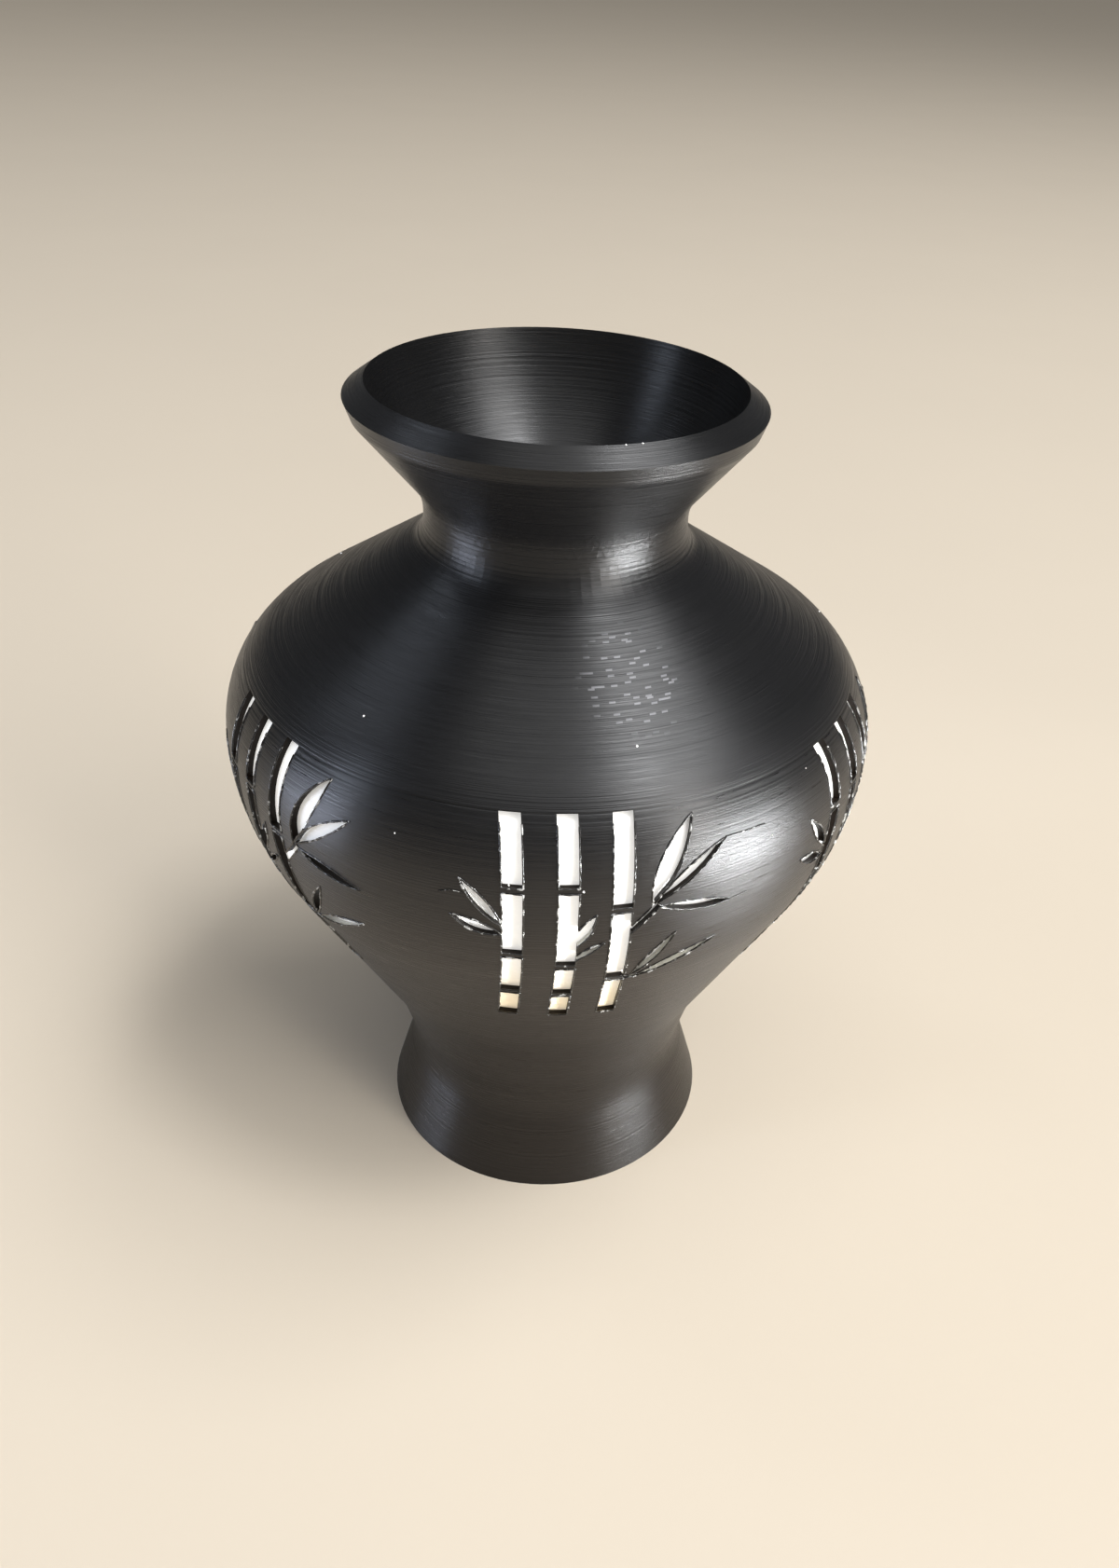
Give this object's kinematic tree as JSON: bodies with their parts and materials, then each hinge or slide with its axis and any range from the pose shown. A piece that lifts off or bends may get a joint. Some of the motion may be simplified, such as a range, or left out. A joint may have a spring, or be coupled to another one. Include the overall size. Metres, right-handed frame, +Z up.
{
  "type": "bamboo vase",
  "caption": "Flower vase with a flared mouth and foot: a shell cut through with bamboo stalks and leaves round a plain inner water vessel.",
  "frame": {"origin": "centre of the flat underside of the foot, where the vase stands", "axes": "+Z up along the vase's axis; -Y is the front, where the middle of one bamboo group faces"},
  "size_m": [0.125, 0.125, 0.1677],
  "materials": {
    "shell": "satin black, printed in fine horizontal layers",
    "liner": "satin white, printed in fine horizontal layers"
  },
  "bodies": {
    "root": {"lower_shell": "shell", "upper_shell": "shell", "liner": "liner"}
  },
  "joints": []
}
